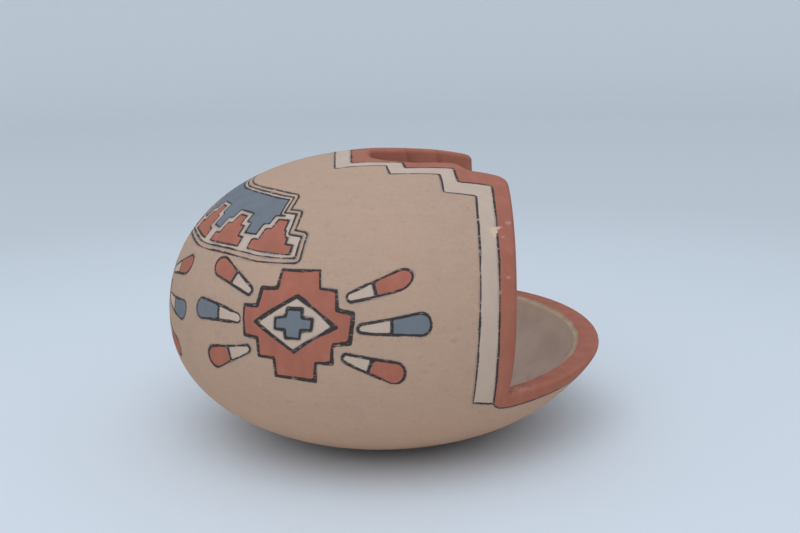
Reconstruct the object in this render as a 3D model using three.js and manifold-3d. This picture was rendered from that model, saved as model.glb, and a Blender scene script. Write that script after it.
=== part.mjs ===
// A hand-built pottery seed jar with a stepped opening over its crown and one side, in millimetres.
// +Z is up, +X is the way the mouth faces, and the origin is the centre of the base.
// The jar is built up as a potter builds it: a pressed base, rows of clay coil, and a crown disc,
// each laid on the flat top of the one below. The opening is cut through all of them afterwards.

import * as THREE from "three";
import { mergeVertices } from "three/addons/utils/BufferGeometryUtils.js";
import Module from "manifold-3d";

const wasm = await Module();
wasm.setup();

// Body: a ball of clay, flattened, round in plan
const BODY_DIAMETER = 147; // at the widest level
const CROWN_RISE = 52.1; // from the widest level to the top of the crown
const BOWL_DEPTH = 43.95; // from the widest level to where the bowl's curve would close
const BASE_DIAMETER = 44; // flat spot pressed at the foot, which sets the height of the widest level
const WALL = 6;
const PLAN_POWER = 2.29; // how square the side's curve is, seen level: 2 is an ellipse
const CROWN_POWER = 2.17;
const BOWL_POWER = 2.14;

// Lip: the low front edge of the mouth, a little out of level, as a cut by hand is
const LIP_HEIGHT = 30.2; // above the table, on the jar's axis
const LIP_RISE_FORWARD = 0.011; // for each millimetre along +x
const LIP_RISE_TO_FAR = 0.036; // for each millimetre along +y
const LIP_FLARE = 1.8; // the rim's outside swells by this much at the front of the mouth
const FLARE_SPREAD = 60; // degrees to each side of the front, where the swell has died away

// Notch: the narrow part of the opening that runs back over the crown in steps
const NOTCH_BACK_X = -4; // its closed end
const NEAR_TREAD = 15; // length of each step of the near edge, along x
const NEAR_WIDTHS = [13.5, 17, 19]; // from the axis to the start of each step
const NEAR_TURN_IN = 3.2; // the middle and front steps run in towards the axis by this much
const NEAR_RISER_SLANT = 4; // the riser before the front step leans forward
const FAR_TREADS = [12.3, 10.5];
const FAR_WIDTHS = [9, 13, 16];
const NEAR_BACK_RADIUS = 8;
const FAR_BACK_RADIUS = 3;

// Uprights: the two cut edges that run down from the notch to the lip
const NEAR_UPRIGHT_X = 40.6; // at the shoulder
const FAR_UPRIGHT_X = 31.3;
const UPRIGHT_LEAN = 0.042; // up to the shoulder the near one leans out, the far one leans in
const UPRIGHT_CURL = 1.25; // the curve at their feet adds this much to the lean, down at the lip
const CURL_HEIGHT = 50; // above the table, where that curve starts
const SHOULDER_RADIUS = 4.4; // rounded corner between the last step and the upright
const SHOULDER_HEIGHT = 86.6; // above the table

// Rows of clay
const ROWS_TO_LIP = 3; // the base and the rows up to the one that carries the lip
const ROWS_ABOVE_LIP = 6; // the last one is the crown disc
const LIP_ROW_SPARE = 2.5; // the lip's row stands this far above the lip beside the mouth

// Fineness of the curved surfaces
const SEGMENTS_ROUND = 108;
const STEPS_IN_ROW = 2;
const STEPS_IN_END = 6; // for the base and the crown, which run to the axis
const CORNER_STEPS = 5;
const UPRIGHT_STEPS = 16;
const WELD = 1e-4; // points closer than this are one

const BODY_RADIUS = BODY_DIAMETER / 2;
const BASE_RADIUS = BASE_DIAMETER / 2;
const CLEAR_OF_BODY = BODY_DIAMETER; // how far the cutter reaches past the jar

const clay = new THREE.MeshStandardMaterial({ color: 0xb49b8a, roughness: 0.85, metalness: 0 });
const baseClay = new THREE.MeshStandardMaterial({ color: 0xa8907e, roughness: 0.9, metalness: 0 });
const lipClay = new THREE.MeshStandardMaterial({ color: 0xa56252, roughness: 0.8, metalness: 0 });

// The widest level follows from how far up the bowl's curve is as wide as the flat spot.
const WIDEST_LEVEL =
  BOWL_DEPTH * (1 - (BASE_RADIUS / BODY_RADIUS) ** PLAN_POWER) ** (1 / BOWL_POWER);
const JAR_HEIGHT = WIDEST_LEVEL + CROWN_RISE;

function curveOf(rise, inset) {
  return rise > 0
    ? { reach: CROWN_RISE - inset, power: CROWN_POWER }
    : { reach: BOWL_DEPTH - inset, power: BOWL_POWER };
}

// Radius of the body at a height, or of a surface inset from it by the wall.
function radiusAt(level, inset) {
  const rise = level - WIDEST_LEVEL;
  const { reach, power } = curveOf(rise, inset);
  const left = Math.max(0, 1 - (Math.abs(rise) / reach) ** power);
  return (BODY_RADIUS - inset) * left ** (1 / PLAN_POWER);
}

// Points up the wall between two heights, closer together where the curve turns in.
function wallCurve(inset, low, high, steps) {
  const angleAt = (level) => {
    const rise = level - WIDEST_LEVEL;
    return Math.asin(THREE.MathUtils.clamp(rise / curveOf(rise, inset).reach, -1, 1));
  };
  const points = [];
  for (let i = 0; i <= steps; i++) {
    const angle = THREE.MathUtils.lerp(angleAt(low), angleAt(high), i / steps);
    let level = WIDEST_LEVEL + curveOf(angle, inset).reach * Math.sin(angle);
    if (i === 0) level = low;
    if (i === steps) level = high;
    points.push(new THREE.Vector2(radiusAt(level, inset), level));
  }
  return points;
}

function turned(profile) {
  return new THREE.LatheGeometry(profile, SEGMENTS_ROUND).rotateX(Math.PI / 2);
}

// Swells the outside of a row's front, more and more from its foot up to the lip.
function flared(geometry, low) {
  const places = geometry.getAttribute("position");
  const least = Math.cos(THREE.MathUtils.degToRad(FLARE_SPREAD));
  for (let i = 0; i < places.count; i++) {
    const x = places.getX(i);
    const y = places.getY(i);
    const round = Math.hypot(x, y);
    const facing = THREE.MathUtils.clamp((x / round - least) / (1 - least), 0, 1);
    const up = THREE.MathUtils.clamp((places.getZ(i) - low) / (LIP_HEIGHT - low), 0, 1);
    const inside = radiusAt(places.getZ(i), WALL);
    const outwards = (round - inside) / (radiusAt(places.getZ(i), 0) - inside);
    const grown = 1 + (LIP_FLARE * facing * up * outwards) / round;
    places.setXYZ(i, x * grown, y * grown, places.getZ(i));
  }
  return geometry;
}

function ring(low, high) {
  const outside = wallCurve(0, low, high, STEPS_IN_ROW);
  const inside = wallCurve(WALL, low, high, STEPS_IN_ROW).reverse();
  return turned([...outside, ...inside, outside[0]]);
}

function base(high) {
  const outside = wallCurve(0, 0, high, STEPS_IN_END);
  const floor = WIDEST_LEVEL - BOWL_DEPTH + WALL;
  const inside = wallCurve(WALL, floor, high, STEPS_IN_END).reverse();
  inside[inside.length - 1].x = 0;
  return turned([new THREE.Vector2(0, 0), ...outside, ...inside]);
}

function crown(low) {
  const outside = wallCurve(0, low, JAR_HEIGHT, STEPS_IN_END);
  const inside = wallCurve(WALL, low, JAR_HEIGHT - WALL, STEPS_IN_END).reverse();
  outside[outside.length - 1].x = 0;
  inside[0].x = 0;
  return turned([...outside, ...inside, outside[0]]);
}

// Plan of the opening, seen from above: back end, near steps, near upright, far upright, far steps.
function openingPlan() {
  const plan = new THREE.Shape();
  const nearAt = (step) => NOTCH_BACK_X + NEAR_TREAD * step;
  const farStart = NOTCH_BACK_X + FAR_TREADS[0];
  const farMiddle = farStart + FAR_TREADS[1];

  plan.moveTo(NOTCH_BACK_X, NEAR_BACK_RADIUS - NEAR_WIDTHS[0]);
  plan.quadraticCurveTo(
    NOTCH_BACK_X,
    -NEAR_WIDTHS[0],
    NOTCH_BACK_X + NEAR_BACK_RADIUS,
    -NEAR_WIDTHS[0],
  );
  plan.lineTo(nearAt(1), -NEAR_WIDTHS[0] - NEAR_TURN_IN);
  plan.lineTo(nearAt(1), -NEAR_WIDTHS[1]);
  plan.lineTo(nearAt(2) - NEAR_RISER_SLANT / 2, -NEAR_WIDTHS[1] + NEAR_TURN_IN);
  plan.lineTo(nearAt(2) + NEAR_RISER_SLANT / 2, -NEAR_WIDTHS[2]);

  const nearEnd = -NEAR_WIDTHS[2] + NEAR_TURN_IN;
  plan.lineTo(NEAR_UPRIGHT_X - SHOULDER_RADIUS, nearEnd);
  plan.quadraticCurveTo(NEAR_UPRIGHT_X, nearEnd, NEAR_UPRIGHT_X, nearEnd - SHOULDER_RADIUS);
  plan.lineTo(NEAR_UPRIGHT_X, -CLEAR_OF_BODY);
  plan.lineTo(CLEAR_OF_BODY, -CLEAR_OF_BODY);
  plan.lineTo(CLEAR_OF_BODY, CLEAR_OF_BODY);
  plan.lineTo(FAR_UPRIGHT_X, CLEAR_OF_BODY);

  const farEnd = FAR_WIDTHS[2];
  plan.lineTo(FAR_UPRIGHT_X, farEnd + SHOULDER_RADIUS);
  plan.quadraticCurveTo(FAR_UPRIGHT_X, farEnd, FAR_UPRIGHT_X - SHOULDER_RADIUS, farEnd);
  plan.lineTo(farMiddle, FAR_WIDTHS[2]);
  plan.lineTo(farMiddle, FAR_WIDTHS[1]);
  plan.lineTo(farStart, FAR_WIDTHS[1]);
  plan.lineTo(farStart, FAR_WIDTHS[0]);
  plan.lineTo(NOTCH_BACK_X + FAR_BACK_RADIUS, FAR_WIDTHS[0]);
  plan.quadraticCurveTo(
    NOTCH_BACK_X,
    FAR_WIDTHS[0],
    NOTCH_BACK_X,
    FAR_WIDTHS[0] - FAR_BACK_RADIUS,
  );
  plan.closePath();
  return plan;
}

function lipLevel(x, y) {
  return LIP_HEIGHT + LIP_RISE_FORWARD * x + LIP_RISE_TO_FAR * y;
}

// How far the lean of an upright moves a point along x: nothing above the shoulder or at the steps.
function leanAt(x, y, z) {
  const upright = y < 0 ? NEAR_UPRIGHT_X : FAR_UPRIGHT_X;
  const share = THREE.MathUtils.clamp(1 + (x - upright) / (2 * SHOULDER_RADIUS), 0, 1);
  const below = Math.max(0, CURL_HEIGHT - z) / (CURL_HEIGHT - LIP_HEIGHT);
  const back = UPRIGHT_LEAN * Math.max(0, SHOULDER_HEIGHT - z) + UPRIGHT_CURL * below ** 2;
  return y < 0 ? -share * back : share * back;
}

// The plan stands up from the sloping lip past the crown, with its uprights leaned.
function openingCutter() {
  const cutter = new THREE.ExtrudeGeometry(openingPlan(), {
    depth: JAR_HEIGHT,
    steps: UPRIGHT_STEPS,
    curveSegments: CORNER_STEPS,
    bevelEnabled: false,
  });
  const places = cutter.getAttribute("position");
  for (let i = 0; i < places.count; i++) {
    const x = places.getX(i);
    const y = places.getY(i);
    const z = lipLevel(x, y) + places.getZ(i);
    places.setXYZ(i, x + leanAt(x, y, z), y, z);
  }
  return cutter;
}

function toSolid(geometry) {
  geometry.deleteAttribute("normal");
  geometry.deleteAttribute("uv");
  const merged = mergeVertices(geometry, WELD);
  return new wasm.Manifold(
    new wasm.Mesh({
      numProp: 3,
      vertProperties: merged.getAttribute("position").array,
      triVerts: new Uint32Array(merged.index.array),
    }),
  );
}

function toGeometry(solid) {
  const { vertProperties, triVerts } = solid.getMesh();
  const geometry = new THREE.BufferGeometry();
  geometry.setAttribute("position", new THREE.BufferAttribute(vertProperties, 3));
  geometry.setIndex(new THREE.BufferAttribute(triVerts, 1));
  geometry.computeVertexNormals();
  return geometry;
}

const opening = toSolid(openingCutter());

function addRow(jar, name, geometry, material) {
  const cut = toSolid(geometry).subtract(opening);
  const row = new THREE.Mesh(toGeometry(cut), material);
  row.name = name;
  jar.add(row);
}

// Heights where one row ends and the next begins, the same for both, so that flat faces meet.
const lipRowTop = lipLevel(BODY_RADIUS, 0) + LIP_ROW_SPARE;
const rowHeightBelow = lipRowTop / ROWS_TO_LIP;
const rowHeightAbove = (JAR_HEIGHT - lipRowTop) / ROWS_ABOVE_LIP;

const jar = new THREE.Group();
addRow(jar, "base_bowl", base(rowHeightBelow), baseClay);
for (let row = 1; row < ROWS_TO_LIP; row++) {
  const carriesLip = row === ROWS_TO_LIP - 1;
  const low = rowHeightBelow * row;
  const high = carriesLip ? lipRowTop : low + rowHeightBelow;
  if (carriesLip) addRow(jar, "lip_coil", flared(ring(low, high), low), lipClay);
  else addRow(jar, `lower_coil_${row}`, ring(low, high), clay);
}
for (let row = 0; row < ROWS_ABOVE_LIP - 1; row++) {
  const isShoulder = row === ROWS_ABOVE_LIP - 2;
  const low = lipRowTop + rowHeightAbove * row;
  const high = lipRowTop + rowHeightAbove * (row + 1);
  addRow(jar, isShoulder ? "shoulder_coil" : `wall_coil_${row + 1}`, ring(low, high), clay);
}
addRow(jar, "crown_disc", crown(lipRowTop + rowHeightAbove * (ROWS_ABOVE_LIP - 1)), clay);

export default jar;
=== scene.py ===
from math import cos, pi, radians, sin

import bmesh
import bpy
import numpy as np
from mathutils import Matrix, Vector


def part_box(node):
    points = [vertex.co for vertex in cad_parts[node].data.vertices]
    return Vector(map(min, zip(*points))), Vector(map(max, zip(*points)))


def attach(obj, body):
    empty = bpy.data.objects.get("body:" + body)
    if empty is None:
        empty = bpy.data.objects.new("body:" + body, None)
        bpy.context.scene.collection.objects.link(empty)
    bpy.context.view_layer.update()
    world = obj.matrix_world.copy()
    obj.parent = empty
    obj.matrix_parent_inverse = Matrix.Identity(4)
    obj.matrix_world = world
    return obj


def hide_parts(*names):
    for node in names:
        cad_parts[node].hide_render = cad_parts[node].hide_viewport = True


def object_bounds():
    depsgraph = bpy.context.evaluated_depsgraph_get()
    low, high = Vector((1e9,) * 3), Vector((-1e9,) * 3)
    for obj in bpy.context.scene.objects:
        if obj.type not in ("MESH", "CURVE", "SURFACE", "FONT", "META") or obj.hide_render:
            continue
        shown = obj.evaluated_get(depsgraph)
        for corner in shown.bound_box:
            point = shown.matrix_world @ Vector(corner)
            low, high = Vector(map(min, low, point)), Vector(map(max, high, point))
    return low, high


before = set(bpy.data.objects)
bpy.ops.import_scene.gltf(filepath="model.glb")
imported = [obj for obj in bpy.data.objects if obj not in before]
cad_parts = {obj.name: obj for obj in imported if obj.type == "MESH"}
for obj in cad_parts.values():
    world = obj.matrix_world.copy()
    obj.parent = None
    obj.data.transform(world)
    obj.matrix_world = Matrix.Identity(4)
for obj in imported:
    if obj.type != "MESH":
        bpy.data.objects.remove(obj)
cad_low, cad_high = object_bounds()


# Camera. It looks across the jar's near side from a little above the crown, about 400 mm away,
# and is held one degree off level, as the photograph was taken.
MM = 0.001
CAMERA_PLACE = (5.13 * MM, -397.31 * MM, 146.91 * MM)
CAMERA_DOWN = radians(13.041)
CAMERA_ROLL = radians(-1.316)
FILM_WIDTH = 36
LENS = 53.55
camera = bpy.data.objects.new("camera", bpy.data.cameras.new("camera"))
camera.data.sensor_width = FILM_WIDTH
camera.data.lens = LENS
camera.matrix_world = (
    Matrix.Translation(CAMERA_PLACE)
    @ Matrix.Rotation(pi / 2 - CAMERA_DOWN, 4, "X")
    @ Matrix.Rotation(CAMERA_ROLL, 4, "Z")
)
bpy.context.scene.collection.objects.link(camera)
bpy.context.scene.camera = camera
bpy.context.scene.view_settings.view_transform = "Standard"


# Studio sweep. A pale blue-grey floor of smooth card that bends up into a low wall all round,
# so that the jar stands against the same plain ground from every side. Its colour is given for
# four distances from the jar, with painted light and shade in it: paler beside the jar, where it
# thins the jar's shadow, darker a little way off, and paler again up the wall. Beside the jar it
# throws back a warmer white, as a table top does.
SWEEP_FLAT = 1.1
SWEEP_BEND = 0.5
SWEEP_WALL = 0.15
SWEEP_BEND_STEPS = 12
SWEEP_ROUND_STEPS = 96
WELD = 0.01
# Card colour by distance from the jar, with painted light: paler beside it, thinning its shadow
SWEEP_TINTS_AND_LIGHT = (
    (0.07, (0.665, 0.755, 0.865, 1)),
    (0.44, (0.565, 0.65, 0.74, 1)),
    (1.05, (0.60, 0.69, 0.785, 1)),
    (1.6, (0.685, 0.785, 0.88, 1)),
)
SWEEP_REACH = 2.0
SWEEP_BOUNCES = ((0.95, 0.92, 0.88, 1), (0.61, 0.605, 0.59, 1))
SWEEP_BOUNCE_FADE = (0.07, 0.16)


def node_tree(owner):
    owner.use_nodes = True
    owner.node_tree.nodes.clear()
    return owner.node_tree


def add_node(tree, kind, values=None, **settings):
    """A shader node with its sockets set, or linked where a value is another node's output."""
    node = tree.nodes.new(kind)
    for name, value in settings.items():
        setattr(node, name, value)
    for socket, value in (values or {}).items():
        if isinstance(value, bpy.types.NodeSocket):
            tree.links.new(value, node.inputs[socket])
        else:
            node.inputs[socket].default_value = value
    return node


bm = bmesh.new()
path = [bm.verts.new((0, 0, 0)), bm.verts.new((SWEEP_FLAT, 0, 0))]
for step in range(1, SWEEP_BEND_STEPS + 1):
    turn = pi / 2 * step / SWEEP_BEND_STEPS
    across = SWEEP_FLAT + SWEEP_BEND * sin(turn)
    path.append(bm.verts.new((across, 0, SWEEP_BEND * (1 - cos(turn)))))
path.append(bm.verts.new((SWEEP_FLAT + SWEEP_BEND, 0, SWEEP_BEND + SWEEP_WALL)))
edges = [bm.edges.new(pair) for pair in zip(path, path[1:])]
bmesh.ops.spin(
    bm,
    geom=path + edges,
    cent=(0, 0, 0),
    axis=(0, 0, 1),
    angle=2 * pi,
    steps=SWEEP_ROUND_STEPS,
    use_merge=True,
)
bmesh.ops.remove_doubles(bm, verts=bm.verts, dist=WELD * MM)
bmesh.ops.recalc_face_normals(bm, faces=bm.faces)
bmesh.ops.reverse_faces(bm, faces=bm.faces)
for face in bm.faces:
    face.smooth = True
sweep = bpy.data.objects.new("studio_sweep", bpy.data.meshes.new("studio_sweep"))
bm.to_mesh(sweep.data)
bm.free()
bpy.context.scene.collection.objects.link(sweep)
card = bpy.data.materials.new("pale_card")
tree = node_tree(card)
ray = add_node(tree, "ShaderNodeLightPath")
where = add_node(tree, "ShaderNodeTexCoord")
away = add_node(
    tree, "ShaderNodeVectorMath", {0: where.outputs["Object"]}, operation="LENGTH"
)
share = add_node(
    tree, "ShaderNodeMath", {0: away.outputs["Value"], 1: SWEEP_REACH}, operation="DIVIDE"
)
tint = add_node(tree, "ShaderNodeValToRGB", {"Fac": share.outputs[0]})
stops = tint.color_ramp.elements
for _ in SWEEP_TINTS_AND_LIGHT[2:]:
    stops.new(0.5)
for stop, (distance, color) in zip(stops, SWEEP_TINTS_AND_LIGHT):
    stop.position = distance / SWEEP_REACH
    stop.color = color
seen = add_node(tree, "ShaderNodeBsdfDiffuse", {"Color": tint.outputs["Color"]})
fading = add_node(
    tree,
    "ShaderNodeMapRange",
    {
        "Value": away.outputs["Value"],
        "From Min": SWEEP_BOUNCE_FADE[0],
        "From Max": SWEEP_BOUNCE_FADE[1],
    },
    interpolation_type="SMOOTHSTEP",
)
warmth = add_node(
    tree,
    "ShaderNodeMix",
    {0: fading.outputs["Result"], 6: SWEEP_BOUNCES[0], 7: SWEEP_BOUNCES[1]},
    data_type="RGBA",
)
bounced = add_node(tree, "ShaderNodeBsdfDiffuse", {"Color": warmth.outputs[2]})
paper = add_node(
    tree,
    "ShaderNodeMixShader",
    {0: ray.outputs["Is Camera Ray"], 1: bounced.outputs[0], 2: seen.outputs[0]},
)
add_node(tree, "ShaderNodeOutputMaterial", {"Surface": paper.outputs[0]})
sweep.data.materials.append(card)


# Studio light. A pale surround gives most of it, with a wide soft box above and a weaker one at
# the front left, so that the light falls off gently towards the jar's foot and right side and
# leaves no hard shadow.
LAMP_COLOR = (1.0, 0.985, 0.97)
SURROUND_COLOR = (0.97, 0.985, 1, 1)
SURROUND_STRENGTH = 0.78


def add_softbox(name, place, size, power):
    lamp = bpy.data.lights.new(name, "AREA")
    lamp.shape = "SQUARE"
    lamp.size = size
    lamp.energy = power
    lamp.color = LAMP_COLOR
    box = bpy.data.objects.new(name, lamp)
    aim = -Vector(place)
    box.matrix_world = Matrix.Translation(place) @ aim.to_track_quat("-Z", "Y").to_matrix().to_4x4()
    bpy.context.scene.collection.objects.link(box)


add_softbox("soft_box_above", (-0.1, -0.6, 0.97), 1.1, 4.0)
add_softbox("soft_box_front", (-0.85, -0.95, 0.5), 0.8, 1.4)
surround = bpy.data.worlds.new("pale_surround")
bpy.context.scene.world = surround
tree = node_tree(surround)
glow = add_node(
    tree, "ShaderNodeBackground", {"Color": SURROUND_COLOR, "Strength": SURROUND_STRENGTH}
)
add_node(tree, "ShaderNodeOutputWorld", {"Surface": glow.outputs[0]})


# The clay wall. The jar is one squat hollow ball of buff clay, coiled up in rows, pinched together,
# scraped smooth inside and out, and cut open with a knife while it was leather hard.
# Its form is worked here once, in millimetres, and the potter's rows are taken from it below.
BODY_RADIUS = cad_high.y / MM
BASE_SPOT_RADIUS = 22
BOWL_DEPTH = 43.95
WALL = 6
PLAN_POWER = 2.29
CROWN_POWER = 2.17
BOWL_POWER = 2.14
WIDEST_LEVEL = (
    BOWL_DEPTH * (1 - (BASE_SPOT_RADIUS / BODY_RADIUS) ** PLAN_POWER) ** (1 / BOWL_POWER)
)
CROWN_RISE = cad_high.z / MM - WIDEST_LEVEL
UNEVENNESS = 0.1
FINGER_RIDGE = 0.02
FINGER_PITCH = 8
FOOT_ROUNDING = 1.0

# Corners of the opening in plan, each with its rounding: the near steps, then the far ones
NEAR_SHOULDER_X = 40.6
FAR_SHOULDER_X = 31.3
SHOULDER_HEIGHT = 86.6
SHOULDER_ROUNDING = 4.4
UPRIGHT_LEAN = 0.042
UPRIGHT_CURL = 1.25
CURL_HEIGHT = 50
BEYOND = 150
OPENING = [
    (-4, -13.5, 8),
    (11, -16.8, 0.8),
    (24, -13.8, 1.2),
    (28, -19, 1.2),
    (NEAR_SHOULDER_X, -15.8, SHOULDER_ROUNDING),
    (NEAR_SHOULDER_X, -BEYOND, 0),
    (BEYOND, -BEYOND, 0),
    (BEYOND, BEYOND, 0),
    (FAR_SHOULDER_X, BEYOND, 0),
    (FAR_SHOULDER_X, 16, SHOULDER_ROUNDING),
    (18.8, 16, 0.8),
    (18.8, 13, 0.8),
    (8.3, 13, 0.8),
    (8.3, 9, 0.8),
    (-4, 9, 3),
]
LIP_HEIGHT = 30.2
LIP_RISE_FORWARD = 0.011
LIP_RISE_TO_FAR = 0.036
LIP_SWELL = 1.8
SWELL_FOOT = 17
SWELL_END = 0.45
OUTER_RIM_ROUNDING = 1.5
INNER_RIM_ROUNDING = 1.2
LIP_CORNER_ROUNDING = 1.0
CORNER_STEPS = 5
PROFILE_STEPS = 48
ROUND_STEPS = 120
KNIFE_HEIGHT = 120
GRAIN = 0.7
SLOPE_STEP = 0.05
LEAST_SLOPE = 0.3


def plan_of(corners):
    """A face with the given corners, rounded as each one says."""
    bm = bmesh.new()
    points = [bm.verts.new((x, y, 0)) for x, y, _ in corners]
    bm.faces.new(points)
    for point, (_, _, rounding) in zip(points, corners):
        if rounding:
            bmesh.ops.bevel(
                bm,
                geom=[point],
                offset=rounding,
                segments=CORNER_STEPS,
                profile=0.5,
                affect="VERTICES",
                material=-1,
            )
    return bm


def outline_of(corners):
    bm = plan_of(corners)
    bm.faces.ensure_lookup_table()
    outline = np.array([point.co.xy for point in bm.faces[0].verts])
    bm.free()
    return outline


def from_outline(across, up, outline):
    """Distance from points to a closed outline, negative inside it."""
    nearest = np.full(across.shape, np.inf)
    inside = np.zeros(across.shape, bool)
    for (x, y), (next_x, next_y) in zip(outline, np.roll(outline, -1, axis=0)):
        run, rise = next_x - x, next_y - y
        share = ((across - x) * run + (up - y) * rise) / (run * run + rise * rise)
        share = np.clip(share, 0, 1)
        nearest = np.minimum(nearest, np.hypot(across - x - share * run, up - y - share * rise))
        if rise:
            passes = (y <= up) != (next_y <= up)
            inside ^= passes & (across - x < run * (up - y) / rise)
    return np.where(inside, -nearest, nearest)


def smooth_step(low, high, value):
    share = np.clip((value - low) / (high - low), 0, 1)
    return share * share * (3 - 2 * share)


def round_corner(one, other, rounding):
    """Distance from what lies inside both shapes, with the edge between them rounded off."""
    over = np.hypot(np.maximum(one + rounding, 0), np.maximum(other + rounding, 0))
    return np.minimum(-rounding, np.maximum(one, other)) + over


def swell_at(place):
    """How far the outside of the wall swells at the front, to thicken the lip."""
    x, y, z = place.T
    facing = smooth_step(SWELL_END, 1, x / (np.hypot(x, y) + 1e-6))
    return LIP_SWELL * facing * smooth_step(SWELL_FOOT, LIP_HEIGHT, z)


def from_ball(place, inset, swell):
    """Distance from the ball's skin, or from one inset from it: negative within."""
    x, y, z = place.T
    rise = z - WIDEST_LEVEL
    reach = np.where(rise > 0, CROWN_RISE, BOWL_DEPTH) - inset
    power = np.where(rise > 0, CROWN_POWER, BOWL_POWER)
    across = np.maximum(np.hypot(x, y) - swell, 0.01) / (BODY_RADIUS - inset)
    tall = np.abs(rise) / reach + 1e-6
    level = across**PLAN_POWER + tall**power
    slope = np.hypot(
        PLAN_POWER / (BODY_RADIUS - inset) * across ** (PLAN_POWER - 1),
        power / reach * tall ** (power - 1),
    )
    middle_power = 2.2
    return middle_power * (level - level ** (1 - 1 / middle_power)) / (slope + 1e-6)


def from_skin(place):
    """Distance from the outside of the jar, as the potter's hand left it."""
    x, y, z = place.T
    round_it = np.arctan2(y, x)
    uneven = 2 + np.sin(3 * round_it + 0.05 * z + 1) + np.sin(5 * round_it - 0.07 * z + 2)
    side = from_ball(place, 0, swell_at(place)) + UNEVENNESS * uneven / 2
    return round_corner(side, -z, FOOT_ROUNDING)


def from_hollow(place):
    x, y, z = place.T
    ridge = FINGER_RIDGE * np.sin(2 * pi * z / FINGER_PITCH + 2 * np.sin(np.arctan2(y, x)))
    return from_ball(place, WALL, 0) + ridge


def unlean(place):
    """The x that each point had before the uprights were leaned."""
    x, y, z = place.T
    shoulder = np.where(y < 0, NEAR_SHOULDER_X, FAR_SHOULDER_X)
    below = np.maximum(0, CURL_HEIGHT - z) / (CURL_HEIGHT - LIP_HEIGHT)
    back = UPRIGHT_LEAN * np.maximum(0, SHOULDER_HEIGHT - z) + UPRIGHT_CURL * below**2
    shift = np.where(y < 0, -back, back)
    room = 2 * SHOULDER_ROUNDING
    share = np.clip((x - shoulder + room) / (room + shift), 0, 1)
    return x - share * shift


def above_lip(place):
    x, y, z = place.T
    return z - LIP_HEIGHT - LIP_RISE_FORWARD * x - LIP_RISE_TO_FAR * y


opening_outline = outline_of(OPENING)


def from_opening(place):
    """Distance from the knife's cut: positive in the opening, and negative in the clay."""
    plan = from_outline(unlean(place), place[:, 1], opening_outline)
    return -round_corner(plan, -above_lip(place), LIP_CORNER_ROUNDING)


def from_clay(place):
    outside = round_corner(from_skin(place), from_opening(place), OUTER_RIM_ROUNDING)
    return round_corner(outside, -from_hollow(place), INNER_RIM_ROUNDING)


def slope_of(distance, place):
    """A distance at each point, and how fast it grows along each axis."""
    here = distance(place)
    ahead = [distance(place + SLOPE_STEP * along) - here for along in np.eye(3)]
    return here, np.stack(ahead, axis=1) / SLOPE_STEP


def places_in(mesh):
    flat = np.empty(len(mesh.vertices) * 3)
    mesh.vertices.foreach_get("co", flat)
    return flat.reshape(-1, 3) / MM


def scrape(mesh):
    """Moves each point of a mesh onto the worked surface of the clay."""
    place = places_in(mesh)
    here, slope = slope_of(from_clay, place)
    steep = np.maximum((slope**2).sum(axis=1), LEAST_SLOPE)
    place -= slope * (np.clip(here, -1, 1) / steep)[:, None]
    mesh.vertices.foreach_set("co", (place * MM).ravel())


bm = bmesh.new()
profile = []
for step in range(PROFILE_STEPS + 1):
    turn = -pi / 2 + pi * step / PROFILE_STEPS
    reach = CROWN_RISE if turn > 0 else BOWL_DEPTH
    level = max(0, WIDEST_LEVEL + reach * sin(turn))
    power = CROWN_POWER if turn > 0 else BOWL_POWER
    left = max(0, 1 - abs((level - WIDEST_LEVEL) / reach) ** power)
    profile.append(bm.verts.new((BODY_RADIUS * left ** (1 / PLAN_POWER), 0, level)))
profile.insert(0, bm.verts.new((0, 0, 0)))
edges = [bm.edges.new(pair) for pair in zip(profile, profile[1:])]
bmesh.ops.spin(
    bm,
    geom=profile + edges,
    cent=(0, 0, 0),
    axis=(0, 0, 1),
    angle=2 * pi,
    steps=ROUND_STEPS,
    use_merge=True,
)
bmesh.ops.remove_doubles(bm, verts=bm.verts, dist=WELD)
bmesh.ops.dissolve_degenerate(bm, edges=bm.edges, dist=WELD)
bmesh.ops.recalc_face_normals(bm, faces=bm.faces)
bmesh.ops.solidify(bm, geom=bm.faces[:], thickness=WALL)
for point in bm.verts:
    if from_ball(np.array([point.co]), 0, 0)[0] > -WALL / 2:
        point.co.xy += point.co.xy.normalized() * swell_at(np.array([point.co]))[0]
bmesh.ops.scale(bm, vec=(MM, MM, MM), verts=bm.verts)
ball = bpy.data.objects.new("ball", bpy.data.meshes.new("ball"))
bm.to_mesh(ball.data)
bm.free()
bpy.context.scene.collection.objects.link(ball)

bm = plan_of(OPENING)
raised = bmesh.ops.extrude_face_region(bm, geom=bm.faces[:])["geom"]
raised = [part for part in raised if isinstance(part, bmesh.types.BMVert)]
bmesh.ops.translate(bm, vec=(0, 0, KNIFE_HEIGHT), verts=raised)
for point in bm.verts:
    x, y = point.co.xy
    point.co.z += LIP_HEIGHT + LIP_RISE_FORWARD * x + LIP_RISE_TO_FAR * y
    shoulder = NEAR_SHOULDER_X if y < 0 else FAR_SHOULDER_X
    if x > shoulder - SHOULDER_ROUNDING / 2:
        lean = UPRIGHT_LEAN if y < 0 else -UPRIGHT_LEAN
        point.co.x += lean * (point.co.z - SHOULDER_HEIGHT)
bmesh.ops.recalc_face_normals(bm, faces=bm.faces)
bmesh.ops.scale(bm, vec=(MM, MM, MM), verts=bm.verts)
knife = bpy.data.objects.new("knife", bpy.data.meshes.new("knife"))
bm.to_mesh(knife.data)
bm.free()
bpy.context.scene.collection.objects.link(knife)

cut = ball.modifiers.new("cut", "BOOLEAN")
cut.operation = "DIFFERENCE"
cut.solver = "EXACT"
cut.object = knife
knead = ball.modifiers.new("knead", "REMESH")
knead.mode = "VOXEL"
knead.voxel_size = GRAIN * MM
bpy.context.view_layer.update()
worked = ball.evaluated_get(bpy.context.evaluated_depsgraph_get())
wall_mesh = bpy.data.meshes.new_from_object(worked)
bpy.data.objects.remove(ball)
bpy.data.objects.remove(knife)

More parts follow.
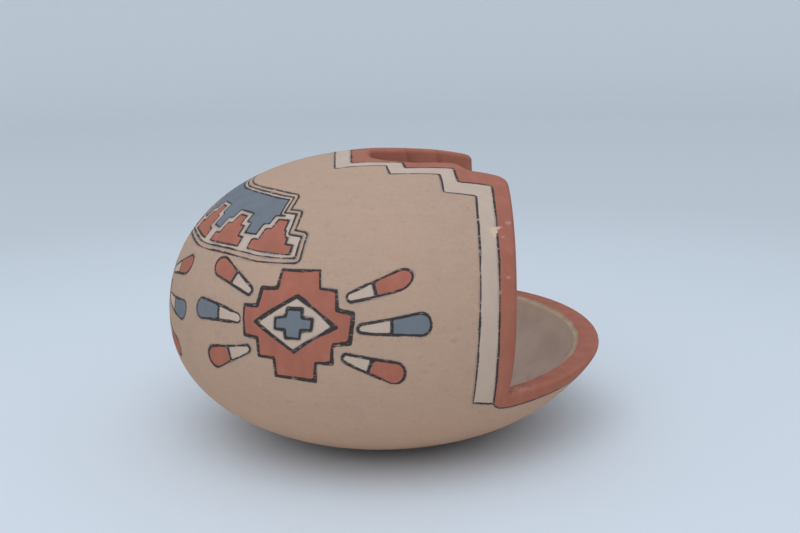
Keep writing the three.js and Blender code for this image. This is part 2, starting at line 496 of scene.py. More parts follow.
for _ in range(2):
    scrape(wall_mesh)
wall = bmesh.new()
wall.from_mesh(wall_mesh)
for _ in range(3):
    bmesh.ops.smooth_vert(
        wall, verts=wall.verts, factor=0.5, use_axis_x=True, use_axis_y=True, use_axis_z=True
    )
wall.to_mesh(wall_mesh)
wall.free()
for _ in range(3):
    scrape(wall_mesh)


# Painted slips. Terracotta, cream and blue-grey clay washes are brushed on the dry clay, outlined
# in black, and fired with it. How far each point of the skin lies from each painted edge is kept on
# the mesh, in millimetres and negative inside the paint, and the materials draw the paint from it.
RED_UPRIGHT_X = 34.5
RED_BOW = 2.4
RED_EDGE = [
    (-9.8, -17.4, 1),
    (6.7, -18.2, 0.6),
    (7.5, -23.9, 0.6),
    (22.8, -20.8, 0.6),
    (23.8, -31.0, 0.8),
    (RED_UPRIGHT_X, -28.3, 0.5),
    (RED_UPRIGHT_X, -BEYOND, 0),
    (BEYOND, -BEYOND, 0),
    (BEYOND, BEYOND, 0),
    (24.8, BEYOND, 0),
    (24.8, 27, 1.2),
    (15.5, 27.5, 0.8),
    (15, 20, 0.6),
    (3.8, 20.5, 0.6),
    (3.3, 14.5, 0.6),
    (-10.8, 14, 1),
]
CREAM_UPRIGHT_X = 28.9
CREAM_BOW = 3.3
CREAM_EDGE = [
    (-14.9, -21.4, 1),
    (1.5, -21.6, 0.6),
    (2.6, -29.5, 0.6),
    (18.2, -27.2, 0.6),
    (19.0, -38.6, 0.8),
    (CREAM_UPRIGHT_X, -37.0, 0.4),
    (CREAM_UPRIGHT_X, -BEYOND, 0),
    (BEYOND, -BEYOND, 0),
    (BEYOND, BEYOND, 0),
    (19.3, BEYOND, 0),
    (19.3, 34.5, 1.2),
    (10.4, 35, 0.8),
    (10, 26, 0.6),
    (-1.6, 26.4, 0.6),
    (-2, 19.5, 0.6),
    (-16.6, 19, 1),
]
BOW_HEIGHT = 58.6
BOW_FROM_X = 12
BOW_FULL_X = 22
RED_BELOW_LIP = 5.1
RED_CORNER_RISE = 3.4
RED_CORNER_REACH = 1.8
CREAM_FOOT = 27.5
CREAM_FOOT_SLOPE = 0.29
CREAM_END_X = 33.5
BORDER_BRUSH = 0.31
SKIN_DEPTH = 1.5
FAR_OFF = 9.0

red_outline = outline_of(RED_EDGE)
cream_outline = outline_of(CREAM_EDGE)


def bowed(place, bow):
    """The x of each point with the upright lines' bow taken out."""
    x, y, z = place.T
    below = np.clip((SHOULDER_HEIGHT - z) / BOW_HEIGHT, 0, 2)
    share = smooth_step(BOW_FROM_X, BOW_FULL_X, x)
    return x + np.where(y < 0, 1, -1) * bow * below**2 * share


def into_red(place):
    inside = from_outline(bowed(place, RED_BOW), place[:, 1], red_outline)
    corner = RED_CORNER_RISE * np.exp(np.minimum(inside, 0) / RED_CORNER_REACH)
    return np.maximum(inside, corner - RED_BELOW_LIP - above_lip(place))


def into_cream(place):
    inside = from_outline(bowed(place, CREAM_BOW), place[:, 1], cream_outline)
    foot = CREAM_FOOT + CREAM_FOOT_SLOPE * (CREAM_UPRIGHT_X - place[:, 0])
    below = np.maximum(foot - place[:, 2], np.minimum(place[:, 0] - CREAM_END_X, -above_lip(place)))
    return np.maximum(inside, below)


place = places_in(wall_mesh)
_, facing_out = slope_of(from_skin, place)
facing_out /= np.linalg.norm(facing_out, axis=1)[:, None]


def along_skin(distance):
    """The same distance measured along the jar's skin, which is what a brush line follows."""
    here, slope = slope_of(distance, place)
    slope -= facing_out * (slope * facing_out).sum(axis=1)[:, None]
    return here / np.maximum(np.linalg.norm(slope, axis=1), LEAST_SLOPE)


to_hollow = np.clip(from_hollow(place), -1, WALL)
on_skin = from_skin(place) > -SKIN_DEPTH
red = along_skin(into_red)
cream = np.minimum(along_skin(into_cream), red)
blue = np.full(len(place), FAR_OFF)
brush = np.full(len(place), BORDER_BRUSH)

# Painted panels: generic stepped clouds between fans of feathers, round the jar's sides and back.
# An outline is given for one quarter of a shape that is the same both ways.
PANELS = ((-111, 54), (180, 51), (111, 54))
HAND_SWAY = 0.35
PANEL_REACH = (46, 26)
CLOUD = [
    (-5, -5),
    (17.6, -5),
    (17.2, 4.3),
    (12.4, 4.8),
    (11.9, 10.2),
    (6.8, 10.6),
    (6.2, 16.2),
    (-5, 16),
]
HEART = [(-5, -5), (6.0, -5), (5.8, 1.7), (2.6, 2.0), (2.3, 4.4), (-5, 4.3)]
WINDOW_WIDE = 12.6
WINDOW_TALL = 8.2
FEATHERS = ((20.1, 0, 0, 17), (16.4, 8.6, 21, 14.5))
FEATHER_FOOT = 1.3
FEATHER_TIP = 3.2
CREAM_SHARE = 0.5
PANEL_BRUSH = 0.5
FEATHER_BRUSH = 0.36
FEATHER_MARGIN = 1
CLIMB_STEPS = 400
levels = np.linspace(WELD, cad_high.z / MM - WELD, CLIMB_STEPS)
climb_rise = levels - WIDEST_LEVEL
climb_reach = np.where(climb_rise > 0, CROWN_RISE, BOWL_DEPTH)
climb_power = np.where(climb_rise > 0, CROWN_POWER, BOWL_POWER)
widths = BODY_RADIUS * (1 - np.abs(climb_rise / climb_reach) ** climb_power) ** (1 / PLAN_POWER)
climbs = np.concatenate([[0], np.cumsum(np.hypot(np.diff(levels), np.diff(widths)))])


def on_panel(azimuth, level):
    """How far each point lies from a panel's middle, round the jar and up its skin.

    The hand that draws on a round jar sways, so the two are bent a little."""
    x, y, z = place.T
    turned = np.arctan2(y, x) - radians(azimuth)
    turned = (turned + pi) % (2 * pi) - pi
    across = turned * np.hypot(x, y)
    up = np.interp(z, levels, climbs) - np.interp(level, levels, climbs)
    swayed = across + HAND_SWAY * np.sin(up / 3.7 + across / 9 + azimuth)
    return swayed, up + HAND_SWAY * np.sin(across / 5.3 - up / 11 + 2 * azimuth)


def feather(across, up, root_x, root_y, turn, length):
    """Distance from a feather that widens to a round tip, and how far along it each point is."""
    along = (across - root_x) * cos(radians(turn)) + (up - root_y) * sin(radians(turn))
    aside = np.abs((up - root_y) * cos(radians(turn)) - (across - root_x) * sin(radians(turn)))
    taper = (FEATHER_TIP - FEATHER_FOOT) / length
    upright = (1 - taper * taper) ** 0.5
    beside = along * upright + aside * taper
    shaft = aside * upright - along * taper - FEATHER_FOOT
    foot = np.hypot(aside, along) - FEATHER_FOOT
    tip = np.hypot(aside, along - length) - FEATHER_TIP
    shape = np.where(beside < 0, foot, np.where(beside > length * upright, tip, shaft))
    return shape, along / length


def paint(slip, shape):
    """Adds a painted shape to a slip, on the outer skin only."""
    return np.minimum(slip, np.where(on_skin, shape, FAR_OFF))


for azimuth, level in PANELS:
    across, up = on_panel(azimuth, level)
    near = (np.abs(across) < PANEL_REACH[0]) & (np.abs(up) < PANEL_REACH[1])
    across = np.where(near, np.abs(across), BEYOND)
    cloud = from_outline(across, np.abs(up), np.array(CLOUD))
    heart = from_outline(across, np.abs(up), np.array(HEART))
    steep = WINDOW_WIDE * WINDOW_TALL / np.hypot(WINDOW_WIDE, WINDOW_TALL)
    window = (across / WINDOW_WIDE + np.abs(up) / WINDOW_TALL - 1) * steep
    red = paint(red, np.maximum(cloud, -window))
    cream = paint(cream, window)
    blue = paint(blue, heart)
    brush[near] = PANEL_BRUSH
    for root_x, root_y, turn, length in FEATHERS:
        shape, share = feather(across, np.abs(up), root_x, root_y, turn, length)
        past_cream = (share - CREAM_SHARE) * length
        tip = np.maximum(shape, -past_cream)
        cream = paint(cream, np.maximum(shape, past_cream))
        if root_y:
            red = paint(red, tip)
        else:
            blue = paint(blue, tip)
        brush[near & (shape < FEATHER_MARGIN)] = FEATHER_BRUSH

# Band of interlocking steps round the back of the shoulder, stepped off at both ends
BAND_LOW = 71.5
BAND_HIGH = 86
BAND_HALF_TURN = 66.5
STEP_TURN = 19
STEP_HALF = 8.6
CREAM_MARGIN = 1.3
RULE_APART = 1.7
BAND_BRUSH = 0.27
BAND_BRUSH_REACH = 3
RISING = [
    (-5, -5),
    (6.9, -5),
    (6.7, 4.6),
    (4.5, 4.9),
    (4.3, 8.9),
    (2.2, 9.2),
    (1.9, 13.0),
    (-5, 12.9),
]
HANGING = [
    (-5, 6.2),
    (2.2, 6.3),
    (2.5, 10.6),
    (4.5, 10.9),
    (4.8, 14.5),
    (12, 14.6),
    (12, 40),
    (-5, 40),
]
across, up = on_panel(180, BAND_LOW)
top = np.interp(BAND_HIGH, levels, climbs) - np.interp(BAND_LOW, levels, climbs)
round_it = np.degrees(np.arctan2(place[:, 1], place[:, 0])) % 360 - 180
reach = np.hypot(place[:, 0], place[:, 1])
past_end = np.radians(np.abs(round_it) - BAND_HALF_TURN) * reach
tread = top / 3
band_end = [
    (-BEYOND, 0),
    (0, 0),
    (-0.3, tread),
    (-5, tread + 0.3),
    (-5.4, 2 * tread),
    (-10, 2 * tread + 0.2),
    (-10.2, top),
    (-BEYOND, top),
]
band = from_outline(past_end, up, np.array(band_end))
folded = np.abs((round_it + STEP_TURN / 2) % STEP_TURN - STEP_TURN / 2)
folded = folded / (STEP_TURN / 2) * STEP_HALF
rising = from_outline(folded, up, np.array(RISING))
hanging = from_outline(STEP_HALF - folded, up, np.array(HANGING))
hanging = np.where(np.abs(round_it) < BAND_HALF_TURN - STEP_TURN / 2, hanging, FAR_OFF)
red = paint(red, np.maximum(rising, band + CREAM_MARGIN))
blue = paint(blue, np.maximum(hanging, band + CREAM_MARGIN))
cream = paint(cream, band)
rule = paint(np.full(len(place), FAR_OFF), band - RULE_APART)
brush[on_skin & (band < BAND_BRUSH_REACH)] = BAND_BRUSH

# Knocks and scuffs along the near border, and thin smears on the lip, the last three of them a
# painted sheen on the lip's top: the place of each, how far it reaches, and its height
SCUFFS = [
    (34.0, -48.0, 77.0, 2.5, 0.4),
    (33.4, -49.0, 76.2, 1.5, 0.6),
    (33.3, -50.0, 75.2, 0.7, 0.7),
]
SMEARS_AND_SHEEN = [
    (38.1, -43.3, 77.7, 1.5, 0.55),
    (36.1, -49.1, 74.6, 0.8, 0.4),
    (36.8, -57.7, 64.3, 1.0, 0.45),
    (34.2, -61.2, 60.7, 0.5, 0.9),
    (28.7, -56.4, 71.9, 0.6, 0.9),
    (28.8, -61.8, 64.8, 0.7, 0.25),
    (28.7, -64.5, 59.6, 0.5, 0.3),
    (28.8, -46.9, 79.8, 0.6, 0.3),
    # Painted sheen: three flat pale streaks on the lip's top beside the near upright
    (41.2, -55.6, 28.7, 2.6, 0.22),
    (38.2, -58.6, 28.5, 1.3, 0.18),
    (45.5, -54.2, 28.8, 1.5, 0.15),
]


def from_marks(marks):
    """Distance from the nearest of a few flat oval marks."""
    nearest = np.full(len(place), FAR_OFF)
    for x, y, z, wide, tall in marks:
        away = place - (x, y, z)
        oval = np.hypot(np.hypot(away[:, 0], away[:, 1]) / wide, away[:, 2] / tall) - 1
        nearest = np.minimum(nearest, oval * min(wide, tall))
    return nearest


for name, values in (
    ("hollow", to_hollow),
    ("from_rim", -from_opening(place)),
    ("red", red),
    ("cream", cream),
    ("blue", blue),
    ("rule", rule),
    ("brush", brush),
    ("chip", from_marks(SCUFFS)),
    ("smear_and_sheen", from_marks(SMEARS_AND_SHEEN)),
):
    layer = wall_mesh.attributes.new(name, "FLOAT", "POINT")
    layer.data.foreach_set("value", np.clip(values, -FAR_OFF, FAR_OFF).astype(np.float32))


# Fired clay. The buff body is a soft pinkish tan with faint clouds from the fire, fine level
# streaks from the scraper and the polishing stone, and tiny grains of temper. Noise scales are
# features in a metre, and heights are millimetres.
BUFF = (0.44, 0.325, 0.262, 1)
FIRE_BLUSH = (0.46, 0.315, 0.24, 1)
RUST = (0.36, 0.235, 0.18, 1)
SOIL = (0.19, 0.15, 0.125, 1)
FIRE_CLOUD_SCALE = 42
BLOTCH_SCALE = 190
FLECK_SCALE = 420
FLECK_STRETCH = (1, 1, 1.8)
STREAK_SCALE = 70
STREAK_STRETCH = (1, 1, 14)
GRIT_SCALE = 800
GRAIN_SCALE = 1500
TEMPER_SCALE = 520
FIRE_CLOUD_DEPTH = 0.015
BLOTCH_DEPTH = 0.02
GRIT_DEPTH = 0.026
RUBBED_LEVEL = (0.1 * MM, 2.2 * MM)
RUBBED_SHARE = 0.5
GRAIN_HEIGHT = 0.035
STREAK_HEIGHT = 0.07
BLOTCH_HEIGHT = 0.08
BUMP_STRENGTH = 0.6
CLAY_SPECULAR = 0.25


def new_group(name, inputs, outputs):
    group = bpy.data.node_groups.new(name, "ShaderNodeTree")
    for socket, kind in inputs.items():
        group.interface.new_socket(socket, in_out="INPUT", socket_type=f"NodeSocket{kind}")
    for socket, kind in outputs.items():
        group.interface.new_socket(socket, in_out="OUTPUT", socket_type=f"NodeSocket{kind}")
    return group, group.nodes.new("NodeGroupInput"), group.nodes.new("NodeGroupOutput")


def math_node(tree, operation, one, other=0.0, third=0.0):
    node = tree.nodes.new("ShaderNodeMath")
    node.operation = operation
    for socket, value in zip(node.inputs, (one, other, third)):
        if isinstance(value, bpy.types.NodeSocket):
            tree.links.new(value, socket)
        else:
            socket.default_value = value
    return node.outputs[0]


def range_node(tree, value, low, high, to_low, to_high):
    """Runs smoothly from one value to another while its input goes from low to high."""
    node = add_node(
        tree,
        "ShaderNodeMapRange",
        {"Value": value, "From Min": low, "From Max": high, "To Min": to_low, "To Max": to_high},
        interpolation_type="SMOOTHSTEP",
    )
    return node.outputs["Result"]


def mix_node(tree, share, one, other):
    node = tree.nodes.new("ShaderNodeMix")
    node.data_type = "RGBA"
    for socket, value in ((0, share), (6, one), (7, other)):
        if isinstance(value, bpy.types.NodeSocket):
            tree.links.new(value, node.inputs[socket])
        else:
            node.inputs[socket].default_value = value
    return node.outputs[2]


def noise_node(tree, scale, detail=2.0, stretch=(1, 1, 1)):
    """Cloudy variation from 0 to 1 over the jar's own coordinates, with features 1/scale across."""
    where = add_node(tree, "ShaderNodeTexCoord").outputs["Object"]
    if stretch != (1, 1, 1):
        where = add_node(tree, "ShaderNodeMapping", {"Vector": where, "Scale": stretch}).outputs[0]
    node = add_node(tree, "ShaderNodeTexNoise", {"Vector": where, "Scale": scale, "Detail": detail})
    return node.outputs[0]


fired_clay, given, result = new_group(
    "fired_clay",
    {"Color": "Color", "Streaks": "Float", "Soiling": "Float"},
    {"Color": "Color", "Roughness": "Float", "Height": "Float"},
)
clouds = noise_node(fired_clay, FIRE_CLOUD_SCALE, 3)
blotches = noise_node(fired_clay, BLOTCH_SCALE, 3)
flecks = noise_node(fired_clay, FLECK_SCALE, 2, FLECK_STRETCH)
streaks = noise_node(fired_clay, STREAK_SCALE, 3, STREAK_STRETCH)
grains = noise_node(fired_clay, GRAIN_SCALE, 2)
grit = noise_node(fired_clay, GRIT_SCALE, 5)
where = add_node(fired_clay, "ShaderNodeTexCoord").outputs["Object"]
temper = add_node(fired_clay, "ShaderNodeTexVoronoi", {"Vector": where, "Scale": TEMPER_SCALE})
chance = add_node(fired_clay, "ShaderNodeSeparateColor", {"Color": temper.outputs["Color"]})


def swing_node(noise, middle, depth):
    """A noise as a value that swings by the given depth to both sides of its middle."""
    return range_node(fired_clay, noise, 0.3, 0.7, middle - depth, middle + depth)


# How light the clay is from place to place
tone = math_node(
    fired_clay,
    "MULTIPLY",
    swing_node(clouds, 1, FIRE_CLOUD_DEPTH),
    swing_node(blotches, 1, BLOTCH_DEPTH),
)
streaked = math_node(fired_clay, "SUBTRACT", streaks, 0.5)
streaked = math_node(fired_clay, "MULTIPLY", streaked, given.outputs["Streaks"])
tone = math_node(fired_clay, "ADD", tone, streaked)
tone = math_node(fired_clay, "ADD", tone, swing_node(grit, 0, GRIT_DEPTH))
speck = range_node(fired_clay, temper.outputs["Distance"], 0.07, 0.15, 1.0, 0.0)
speck_tone = range_node(fired_clay, chance.outputs[0], 0.3, 0.95, -0.22, 0.05)
tone = math_node(fired_clay, "MULTIPLY_ADD", speck, speck_tone, tone)
toned = add_node(
    fired_clay,
    "ShaderNodeVectorMath",
    {0: given.outputs["Color"], "Scale": tone},
    operation="SCALE",
)

# Blushes from the fire, rusty flecks, soiling, and a rubbed patch where the jar stands
blushed = range_node(fired_clay, clouds, 0.35, 0.7, 0.0, 0.35)
color = mix_node(fired_clay, blushed, toned.outputs[0], FIRE_BLUSH)
rusty = range_node(fired_clay, flecks, 0.62, 0.74, 0.0, 0.35)
color = mix_node(fired_clay, rusty, color, RUST)
soiled = range_node(fired_clay, blotches, 0.45, 0.75, 0.0, 1.0)
soiled = math_node(fired_clay, "MULTIPLY", soiled, given.outputs["Soiling"])
level = add_node(fired_clay, "ShaderNodeSeparateXYZ", {"Vector": where}).outputs["Z"]
rubbed = range_node(fired_clay, level, *RUBBED_LEVEL, RUBBED_SHARE, 0.0)
rubbed = math_node(
    fired_clay, "MULTIPLY", rubbed, range_node(fired_clay, blotches, 0.35, 0.6, 0.3, 1.0)
)
soiled = math_node(fired_clay, "MAXIMUM", soiled, rubbed)
color = mix_node(fired_clay, soiled, color, SOIL)
fired_clay.links.new(color, result.inputs["Color"])
fired_clay.links.new(swing_node(blotches, 0.78, 0.06), result.inputs["Roughness"])
bumps = math_node(fired_clay, "MULTIPLY", grains, GRAIN_HEIGHT)
bumps = math_node(fired_clay, "MULTIPLY_ADD", streaks, STREAK_HEIGHT, bumps)
bumps = math_node(fired_clay, "MULTIPLY_ADD", blotches, BLOTCH_HEIGHT, bumps)
fired_clay.links.new(bumps, result.inputs["Height"])

# Slips over the clay, in the order that they were brushed on: cream, terracotta, blue-grey, black.
# The hand's wander and shiver, and what softens an edge, are millimetres, as the edges are.
CREAM_SLIP = (0.52, 0.438, 0.388, 1)
RED_SLIP = (0.365, 0.132, 0.096, 1)
RED_THIN = (0.405, 0.156, 0.116, 1)
RED_POOLED = (0.30, 0.12, 0.09, 1)
RED_THICK = (0.29, 0.105, 0.082, 1)
BLUE_SLIP = (0.143, 0.176, 0.222, 1)
BLUE_THIN = (0.19, 0.225, 0.27, 1)
BLACK_SLIP = (0.022, 0.022, 0.026, 1)
LINE_SHADE = (0.20, 0.175, 0.19, 1)
BARE_RIM = (0.42, 0.325, 0.25, 1)
# Greyer bare clay of the hollow, painted paler than the buff to stand in for light inside
BARE_INSIDE_WITH_LIGHT = (0.56, 0.44, 0.382, 1)
STAINED_INSIDE = (0.36, 0.265, 0.225, 1)
# Painted light just inside the opening
PAINTED_RIM_LIGHT = (0.63, 0.50, 0.40, 1)
BARE_CHIP = (0.66, 0.50, 0.39, 1)
# Pale grey-pink of the smears, and of the painted sheen on the lip's top
SMEAR_AND_SHEEN = (0.50, 0.34, 0.31, 1)
WANDER_SCALE = 170
SHIVER_SCALE = 1400
PRESSURE_SCALE = 90
BRUSHED_SCALE = 260
BRUSHED_STRETCH = (1, 1, 0.35)
POOLED_SCALE = 60
SCRATCH_SCALE = 520
SCRATCH_STRETCH = (1, 1, 4)
SPOT_SCALE = 240
HAND_WANDER = 0.8
HAND_SHIVER = 0.08
INK_SHIVER = 0.24
MARK_SHIVER = 0.7
EDGE_SOFTNESS = 0.11
LINE_FOLLOWS = 0.8
RIM_LIGHT_WANDER = 4.0
SLIP_HEIGHT = 0.03
CHIP_HEIGHT = -0.12
SLIP_ROUGHER = 0.06
INK_ROUGHER = -0.12

painted_clay, given, result = new_group(
    "painted_clay",
    {"Clay": "Color", "Roughness": "Float", "Height": "Float", "Inside": "Color"},
    {"Color": "Color", "Roughness": "Float", "Height": "Float"},
)


def edge_of(name):
    return add_node(painted_clay, "ShaderNodeAttribute", attribute_name=name).outputs["Fac"]


wander = noise_node(painted_clay, WANDER_SCALE, 2)
shiver = noise_node(painted_clay, SHIVER_SCALE, 1)
wobble = math_node(painted_clay, "MULTIPLY_ADD", wander, HAND_WANDER, -HAND_WANDER / 2)
wobble = math_node(painted_clay, "MULTIPLY_ADD", shiver, HAND_SHIVER, wobble)
brushed = noise_node(painted_clay, BRUSHED_SCALE, 3, BRUSHED_STRETCH)
pooled = noise_node(painted_clay, POOLED_SCALE, 3)


def covered_by(name):
    """Where a slip lies: 1 inside its hand-drawn edge, and 0 outside it."""
    edge = math_node(painted_clay, "ADD", edge_of(name), wobble)
    return range_node(painted_clay, edge, -EDGE_SOFTNESS, EDGE_SOFTNESS, 1.0, 0.0)


# Cream, terracotta and blue-grey, each thinner along the strokes of its brush
thin = range_node(painted_clay, brushed, 0.3, 0.7, 0.0, 1.0)
cream_tone = mix_node(
    painted_clay, math_node(painted_clay, "MULTIPLY", thin, 0.22), CREAM_SLIP, BUFF
)
on_cream = covered_by("cream")
cover = math_node(painted_clay, "MULTIPLY", on_cream, 0.95)
color = mix_node(painted_clay, cover, given.outputs["Clay"], cream_tone)
red_tone = mix_node(painted_clay, thin, RED_SLIP, RED_THIN)
pools = range_node(painted_clay, pooled, 0.35, 0.7, 0.0, 0.35)
red_tone = mix_node(painted_clay, pools, red_tone, RED_POOLED)
thick = range_node(painted_clay, wander, 0.35, 0.65, 0.0, 0.22)
red_tone = mix_node(painted_clay, thick, red_tone, RED_THICK)
on_red = covered_by("red")
color = mix_node(painted_clay, on_red, color, red_tone)
blue_tone = mix_node(
    painted_clay, math_node(painted_clay, "MULTIPLY", thin, 0.35), BLUE_SLIP, BLUE_THIN
)
on_blue = covered_by("blue")
color = mix_node(painted_clay, on_blue, color, blue_tone)

# Black lines along the slips' edges, with the soft shade that the black bled into the clay
line_away = FAR_OFF
bled = 0.0
for slip in ("red", "cream", "blue", "rule"):
    edge = math_node(painted_clay, "MULTIPLY_ADD", wobble, LINE_FOLLOWS, edge_of(slip))
    away = math_node(painted_clay, "ABSOLUTE", edge)
    line_away = math_node(painted_clay, "MINIMUM", line_away, away)
    beside = range_node(painted_clay, edge, 0.45, 1.1, 1.0, 0.0)
    outside = range_node(painted_clay, edge_of(slip), -0.6, 0.0, 0.0, 1.0)
    beside = math_node(painted_clay, "MULTIPLY", beside, outside)
    bled = math_node(painted_clay, "MAXIMUM", bled, beside)
bled = math_node(
    painted_clay, "MULTIPLY", bled, range_node(painted_clay, wander, 0.38, 0.6, 0.05, 0.6)
)
color = mix_node(painted_clay, bled, color, LINE_SHADE)
pressure = noise_node(painted_clay, PRESSURE_SCALE, 1)
pressure = range_node(painted_clay, pressure, 0.35, 0.65, 0.65, 1.3)
half_width = math_node(painted_clay, "MULTIPLY", edge_of("brush"), pressure)
ink_edge = math_node(painted_clay, "SUBTRACT", line_away, half_width)
ink_edge = math_node(painted_clay, "MULTIPLY_ADD", shiver, INK_SHIVER, ink_edge)
ink_edge = math_node(painted_clay, "SUBTRACT", ink_edge, INK_SHIVER / 2)
scratchy = noise_node(painted_clay, SCRATCH_SCALE, 2, SCRATCH_STRETCH)
unscratched = range_node(painted_clay, scratchy, 0.57, 0.68, 0.95, 0.35)
on_ink = range_node(painted_clay, ink_edge, -0.10, 0.14, 1.0, 0.0)
on_ink = math_node(painted_clay, "MULTIPLY", on_ink, unscratched)
color = mix_node(painted_clay, on_ink, color, BLACK_SLIP)

# Smears, the painted sheen on the lip, and chips
ragged = math_node(painted_clay, "MULTIPLY_ADD", shiver, MARK_SHIVER, -MARK_SHIVER / 2)
smear_and_sheen_cover = math_node(painted_clay, "ADD", edge_of("smear_and_sheen"), ragged)
smear_and_sheen_cover = range_node(painted_clay, smear_and_sheen_cover, -0.3, 0.15, 0.6, 0.0)
color = mix_node(painted_clay, smear_and_sheen_cover, color, SMEAR_AND_SHEEN)
chipped = math_node(painted_clay, "ADD", edge_of("chip"), ragged)
chipped = range_node(painted_clay, chipped, -0.15, 0.15, 0.85, 0.0)
color = mix_node(painted_clay, chipped, color, BARE_CHIP)

# The hollow, stained and spotted, with a bare inner edge. Its bare clay is greyer than the outside
# buff and painted paler than it, and paler still just below the rim: painted light in the hollow
rim = math_node(painted_clay, "ADD", edge_of("hollow"), wobble)
worn = range_node(painted_clay, rim, 0.7, 1.15, 0.75, 0.0)
color = mix_node(painted_clay, worn, color, BARE_RIM)
stained = range_node(painted_clay, pooled, 0.42, 0.68, 0.0, 0.35)
spotted = noise_node(painted_clay, SPOT_SCALE, 2)
spotted = range_node(painted_clay, spotted, 0.64, 0.76, 0.0, 0.5)
stained = math_node(painted_clay, "MAXIMUM", stained, spotted)
hollow_tone = mix_node(painted_clay, stained, given.outputs["Inside"], STAINED_INSIDE)
# Painted light: paler towards the opening, fading out some 7 mm below the rim
rim_light = math_node(painted_clay, "MULTIPLY_ADD", wobble, RIM_LIGHT_WANDER, edge_of("from_rim"))
rim_light = range_node(painted_clay, rim_light, 0.5, 7.5, 0.9, 0.0)
hollow_tone = mix_node(painted_clay, rim_light, hollow_tone, PAINTED_RIM_LIGHT)
inside = range_node(painted_clay, rim, 0.1, 0.6, 1.0, 0.0)
color = mix_node(painted_clay, inside, color, hollow_tone)
painted_clay.links.new(color, result.inputs["Color"])

# What the slips do to the surface, on the outside only
on_slip = math_node(painted_clay, "MAXIMUM", on_red, on_blue)
on_slip = math_node(painted_clay, "MAXIMUM", on_slip, on_cream)
painted_side = math_node(painted_clay, "SUBTRACT", 1.0, inside)
on_slip = math_node(painted_clay, "MULTIPLY", on_slip, painted_side)
on_ink = math_node(painted_clay, "MULTIPLY", on_ink, painted_side)
matte = math_node(
    painted_clay, "MULTIPLY_ADD", on_slip, SLIP_ROUGHER, given.outputs["Roughness"]
)
matte = math_node(painted_clay, "MULTIPLY_ADD", on_ink, INK_ROUGHER, matte)
painted_clay.links.new(matte, result.inputs["Roughness"])
laid = math_node(painted_clay, "MULTIPLY_ADD", on_slip, SLIP_HEIGHT, given.outputs["Height"])
laid = math_node(painted_clay, "MULTIPLY_ADD", on_ink, SLIP_HEIGHT, laid)
laid = math_node(painted_clay, "MULTIPLY_ADD", chipped, CHIP_HEIGHT, laid)
painted_clay.links.new(laid, result.inputs["Height"])


def clay_material(name, streaks, soiling):
    """Unglazed clay with its slips, with its own share of tool streaks and soiling."""
    material = bpy.data.materials.new(name)
    tree = node_tree(material)
    body = tree.nodes.new("ShaderNodeGroup")
    body.node_tree = fired_clay
    body.inputs["Color"].default_value = BUFF
    body.inputs["Streaks"].default_value = streaks
    body.inputs["Soiling"].default_value = soiling
    slips = tree.nodes.new("ShaderNodeGroup")
    slips.node_tree = painted_clay
    tree.links.new(body.outputs["Color"], slips.inputs["Clay"])
    tree.links.new(body.outputs["Roughness"], slips.inputs["Roughness"])
    tree.links.new(body.outputs["Height"], slips.inputs["Height"])
    # The hollow's clay, greyer than the buff and painted paler as light inside
    slips.inputs["Inside"].default_value = BARE_INSIDE_WITH_LIGHT
    bump = add_node(
        tree,
        "ShaderNodeBump",
        {"Height": slips.outputs["Height"], "Distance": MM, "Strength": BUMP_STRENGTH},
    )
    surface = add_node(
        tree,
        "ShaderNodeBsdfPrincipled",
        {
            "Base Color": slips.outputs["Color"],
            "Roughness": slips.outputs["Roughness"],
            "Normal": bump.outputs["Normal"],
            "Specular IOR Level": CLAY_SPECULAR,
        },
    )
    add_node(tree, "ShaderNodeOutputMaterial", {"Surface": surface.outputs[0]})
    return material


# Rows of the wall. The finished wall is sliced level where one rope of clay was laid on the next,
# and each row is closed at its flat joints, so that it is a solid piece of its own.
ROW_SPARE = 1.5
JOINT_SNAP = 0.02
wall = bmesh.new()
wall.from_mesh(wall_mesh)


def shade_as_one(mesh):
    """Shades a row by the slope of the whole wall, so that no joint shows in the scraped skin."""
    _, slope = slope_of(from_clay, places_in(mesh))
    slope /= np.linalg.norm(slope, axis=1)[:, None]
    corners = np.empty(len(mesh.loops), int)
    mesh.loops.foreach_get("vertex_index", corners)
    normals = slope[corners]
    for face in mesh.polygons:
        if not face.use_smooth:
            normals[face.loop_start : face.loop_start + face.loop_total] = face.normal
    mesh.normals_split_custom_set(normals)


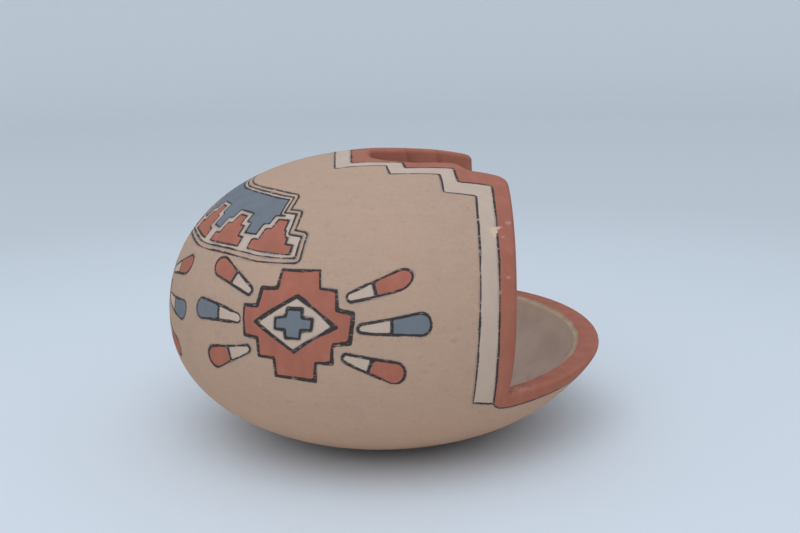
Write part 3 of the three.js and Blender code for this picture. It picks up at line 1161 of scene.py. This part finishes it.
def take_row(name, node, material):
    """The stretch of wall between a row's flat joints, closed at them, as a piece of its own."""
    low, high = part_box(node)
    bm = wall.copy()
    reach = ROW_SPARE * MM
    beyond = [
        face
        for face in bm.faces
        if not low.z - reach < face.verts[0].co.z < high.z + reach
    ]
    bmesh.ops.delete(bm, geom=beyond, context="FACES")
    for face in bm.faces:
        face.smooth = True
    for level, away in ((low.z, -1), (high.z, 1)):
        if not cad_low.z + reach < level < cad_high.z - reach:
            continue
        cut = bmesh.ops.bisect_plane(
            bm,
            geom=bm.verts[:] + bm.edges[:] + bm.faces[:],
            plane_co=(0, 0, level),
            plane_no=(0, 0, away),
            dist=JOINT_SNAP * MM,
            clear_outer=True,
        )
        rims = [edge for edge in cut["geom_cut"] if isinstance(edge, bmesh.types.BMEdge)]
        for edge in rims:
            edge.smooth = False
        joint = bmesh.ops.triangle_fill(bm, edges=rims, use_beauty=True, normal=(0, 0, away))
        for face in joint["geom"]:
            if isinstance(face, bmesh.types.BMFace):
                face.smooth = False
    row = bpy.data.objects.new(name, bpy.data.meshes.new(name))
    bm.to_mesh(row.data)
    bm.free()
    bpy.context.scene.collection.objects.link(row)
    shade_as_one(row.data)
    row.data.materials.append(material)
    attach(row, "root")
    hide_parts(node)


# Base bowl. The potter presses a disc of clay into a shallow dish for the foot of the jar.
# It is a little soiled, and its flat spot is rubbed from standing.
TOOL_STREAKS = 0.09
FOOT_SOILING = 0.10
foot_clay = clay_material("foot_clay", TOOL_STREAKS, FOOT_SOILING)
take_row("jar_base_bowl", "base_bowl", foot_clay)

# Lower coil. The first rope of clay is laid on the base's edge, pinched to it and scraped flush.
# Its clay is clean, as all the clay above the foot is.
wall_clay = clay_material("wall_clay", TOOL_STREAKS, 0.0)
take_row("jar_lower_coil", "lower_coil_1", wall_clay)

# Lip coil. This row goes all the way round, and the low lip of the mouth is cut into its front,
# rounded over with a wet thumb and painted with terracotta slip.
take_row("jar_lip_coil", "lip_coil", wall_clay)

# Wall coils. Four rows carry the jar up past its widest part, and are open at the front, where
# they stop at the two cut uprights.
for number in range(1, 5):
    take_row(f"jar_wall_coil_{number}", f"wall_coil_{number}", wall_clay)

# Shoulder coil. The last rope of clay leans in over the hollow to carry the crown, and is cut
# where the uprights turn into the notch.
take_row("jar_shoulder_coil", "shoulder_coil", wall_clay)

# Crown disc. A thin disc closes the top, and the stepped notch is cut back through it. Its edge
# carries the terracotta and cream steps of the border.
take_row("jar_crown_disc", "crown_disc", wall_clay)
wall.free()
